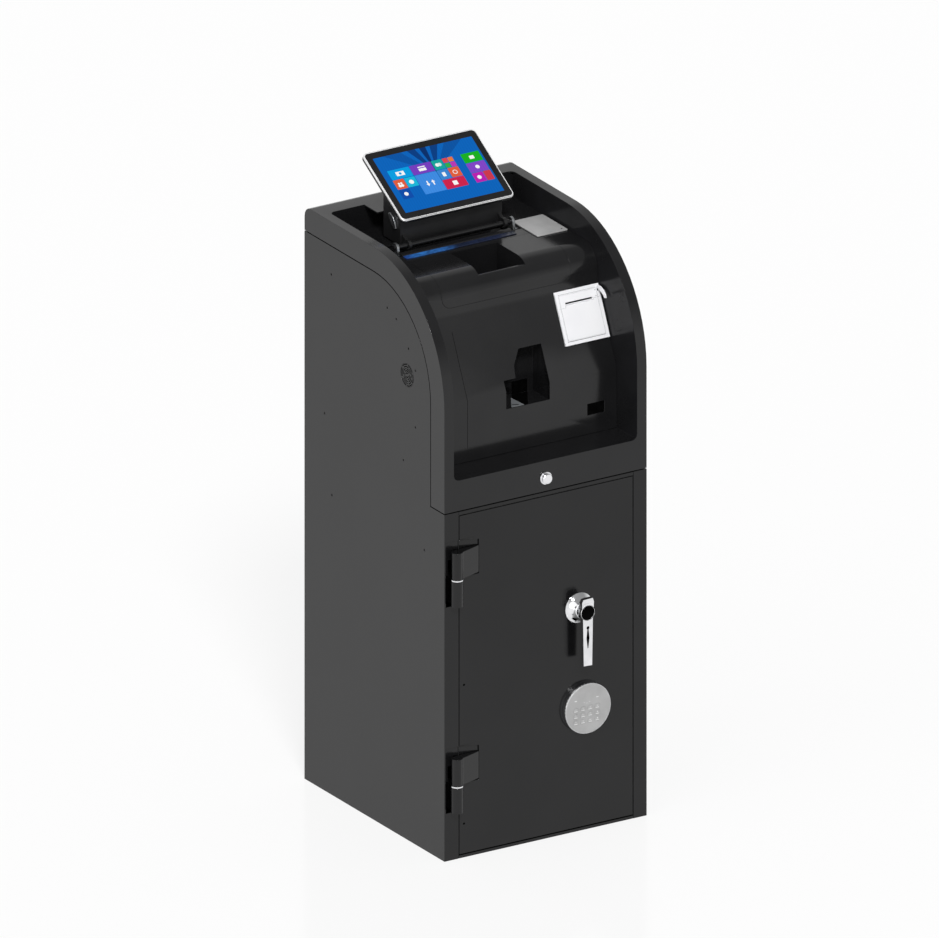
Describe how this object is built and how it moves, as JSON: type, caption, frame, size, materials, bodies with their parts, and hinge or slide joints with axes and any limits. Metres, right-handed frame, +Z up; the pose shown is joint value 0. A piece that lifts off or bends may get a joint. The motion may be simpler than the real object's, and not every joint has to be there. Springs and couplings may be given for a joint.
{
  "type": "atm machine",
  "caption": "Floor-standing cash machine: a steel safe with a keypad-locked door, under a curved lift-up hood with note inlet and outlet, receipt printer and tilting touch screen.",
  "frame": {"origin": "centre of the cabinet's rectangular footprint, on the floor", "axes": "+Z up, -Y towards the user at the front, +X to the user's right"},
  "size_m": [0.445, 0.5389, 1.2496],
  "materials": {
    "black_powder_coat": "fine-textured black powder coat on folded sheet steel",
    "black_satin_sheet": "smooth satin black coat on formed sheet",
    "chrome": "polished chrome-plated zinc casting",
    "zinc_plated_steel": "bright zinc-plated steel",
    "satin_nickel": "satin metallic keypad face",
    "white_plastic": "fine-grained white moulded ABS",
    "dark_plastic": "black moulded plastic",
    "grey_steel": "grey coated sheet-steel housing",
    "black_glass": "black-backed cover glass",
    "blue_light_bar": "blue light guide, lit from below",
    "paper": "white thermal paper",
    "aluminium": "anodised aluminium"
  },
  "bodies": {
    "cabinet": {"side_left": "black_powder_coat", "side_right": "black_powder_coat", "base_plate": "black_powder_coat", "safe_roof": "black_powder_coat", "back_panel": "black_powder_coat", "door_hinge_foot_upper": "black_powder_coat", "door_hinge_foot_lower": "black_powder_coat", "hood_hinge_cabinet_leaf": "black_powder_coat", "hood_hinge_pin": "zinc_plated_steel", "fan_frame": "dark_plastic", "note_recycler": "grey_steel", "controller_box": "grey_steel", "power_supply": "aluminium", "speaker": "black_powder_coat", "power_inlet": "dark_plastic", "cassette_shelf": "grey_steel", "cash_cassette": "dark_plastic", "hood_lock_strike": "zinc_plated_steel"},
    "fan": {"fan_rotor": "dark_plastic"},
    "door": {"door_panel": "black_powder_coat", "door_liner": "black_powder_coat", "door_hinge_knuckle_upper": "black_powder_coat", "door_hinge_knuckle_lower": "black_powder_coat", "handle_rosette": "chrome", "keypad_housing": "satin_nickel"},
    "handle": {"handle_lever": "chrome"},
    "bolts": {"bolt_bar": "zinc_plated_steel"},
    "hood": {"hood_shell": "black_powder_coat", "fascia_panel": "black_satin_sheet", "inlet_hatch": "black_satin_sheet", "outlet_tray": "black_satin_sheet", "code_scanner": "black_glass", "reader_plate": "aluminium", "light_bar": "blue_light_bar", "printer_frame": "white_plastic", "printer_body": "dark_plastic", "tilt_bracket_left": "zinc_plated_steel", "tilt_bracket_right": "zinc_plated_steel", "hood_hinge_hood_leaf": "black_powder_coat"},
    "hood_latch": {"hood_lock": "chrome"},
    "printer_lid": {"printer_cover": "white_plastic"},
    "release_tab": {"printer_release_tab": "white_plastic"},
    "receipt_roll": {"paper_roll": "paper"},
    "tablet_stand": {"tablet_housing": "aluminium", "tablet_glass": "black_glass", "tilt_shaft": "zinc_plated_steel", "tablet_cradle": "dark_plastic"},
    "key_button_01": {"key_01": "satin_nickel"},
    "key_button_02": {"key_02": "satin_nickel"},
    "key_button_03": {"key_03": "satin_nickel"},
    "key_button_04": {"key_04": "satin_nickel"},
    "key_button_05": {"key_05": "satin_nickel"},
    "key_button_06": {"key_06": "satin_nickel"},
    "key_button_07": {"key_07": "satin_nickel"},
    "key_button_08": {"key_08": "satin_nickel"},
    "key_button_09": {"key_09": "satin_nickel"},
    "key_button_10": {"key_10": "satin_nickel"},
    "key_button_11": {"key_11": "satin_nickel"},
    "key_button_12": {"key_12": "satin_nickel"}
  },
  "joints": [
    {"name": "door_swing", "type": "hinge", "parent": "cabinet", "child": "door", "pos_m": [-0.201, -0.2575, 0.36], "axis": [0, 0, -1], "range_deg": [0, 105]},
    {"name": "handle_turn", "type": "hinge", "parent": "door", "child": "handle", "pos_m": [0.0725, -0.2475, 0.45], "axis": [0, 1, 0], "range_deg": [0, 90]},
    {"name": "bolt_slide", "type": "slide", "parent": "door", "child": "bolts", "axis": [1, 0, 0], "range_m": [0, 0.016]},
    {"name": "hood_lift", "type": "hinge", "parent": "cabinet", "child": "hood", "pos_m": [0, 0.2529, 1.103], "axis": [-1, 0, 0], "range_deg": [0, 65]},
    {"name": "hood_lock_turn", "type": "hinge", "parent": "hood", "child": "hood_latch", "pos_m": [0, -0.2475, 0.7255], "axis": [0, 1, 0], "range_deg": [0, 90]},
    {"name": "printer_cover_swing", "type": "hinge", "parent": "hood", "child": "printer_lid", "pos_m": [0.1505, -0.14994, 0.94605], "axis": [1, 0, 0], "range_deg": [0, 80]},
    {"name": "release_tab_press", "type": "hinge", "parent": "hood", "child": "release_tab", "pos_m": [0.19575, -0.11589, 1.02076], "axis": [1, 0, 0], "range_deg": [0, 20], "stiffness_Nm_per_rad": 0.05},
    {"name": "paper_roll_spin", "type": "hinge", "parent": "hood", "child": "receipt_roll", "pos_m": [0.1505, -0.0968, 0.96645], "axis": [1, 0, 0], "continuous": true},
    {"name": "tablet_tilt", "type": "hinge", "parent": "hood", "child": "tablet_stand", "pos_m": [0, 0.0635, 1.112], "axis": [1, 0, 0], "range_deg": [0, 35]},
    {"name": "fan_spin", "type": "hinge", "parent": "cabinet", "child": "fan", "pos_m": [0.1175, 0.222, 1.032], "axis": [0, 1, 0], "continuous": true},
    {"name": "key_press_01", "type": "slide", "parent": "door", "child": "key_button_01", "axis": [0, 1, 0], "range_m": [0, 0.001], "stiffness_N_per_m": 400},
    {"name": "key_press_02", "type": "slide", "parent": "door", "child": "key_button_02", "axis": [0, 1, 0], "range_m": [0, 0.001], "stiffness_N_per_m": 400},
    {"name": "key_press_03", "type": "slide", "parent": "door", "child": "key_button_03", "axis": [0, 1, 0], "range_m": [0, 0.001], "stiffness_N_per_m": 400},
    {"name": "key_press_04", "type": "slide", "parent": "door", "child": "key_button_04", "axis": [0, 1, 0], "range_m": [0, 0.001], "stiffness_N_per_m": 400},
    {"name": "key_press_05", "type": "slide", "parent": "door", "child": "key_button_05", "axis": [0, 1, 0], "range_m": [0, 0.001], "stiffness_N_per_m": 400},
    {"name": "key_press_06", "type": "slide", "parent": "door", "child": "key_button_06", "axis": [0, 1, 0], "range_m": [0, 0.001], "stiffness_N_per_m": 400},
    {"name": "key_press_07", "type": "slide", "parent": "door", "child": "key_button_07", "axis": [0, 1, 0], "range_m": [0, 0.001], "stiffness_N_per_m": 400},
    {"name": "key_press_08", "type": "slide", "parent": "door", "child": "key_button_08", "axis": [0, 1, 0], "range_m": [0, 0.001], "stiffness_N_per_m": 400},
    {"name": "key_press_09", "type": "slide", "parent": "door", "child": "key_button_09", "axis": [0, 1, 0], "range_m": [0, 0.001], "stiffness_N_per_m": 400},
    {"name": "key_press_10", "type": "slide", "parent": "door", "child": "key_button_10", "axis": [0, 1, 0], "range_m": [0, 0.001], "stiffness_N_per_m": 400},
    {"name": "key_press_11", "type": "slide", "parent": "door", "child": "key_button_11", "axis": [0, 1, 0], "range_m": [0, 0.001], "stiffness_N_per_m": 400},
    {"name": "key_press_12", "type": "slide", "parent": "door", "child": "key_button_12", "axis": [0, 1, 0], "range_m": [0, 0.001], "stiffness_N_per_m": 400}
  ],
  "couplings": [
    {"joint": "bolt_slide", "follows": "handle_turn", "m_per_rad": 0.010185}
  ]
}
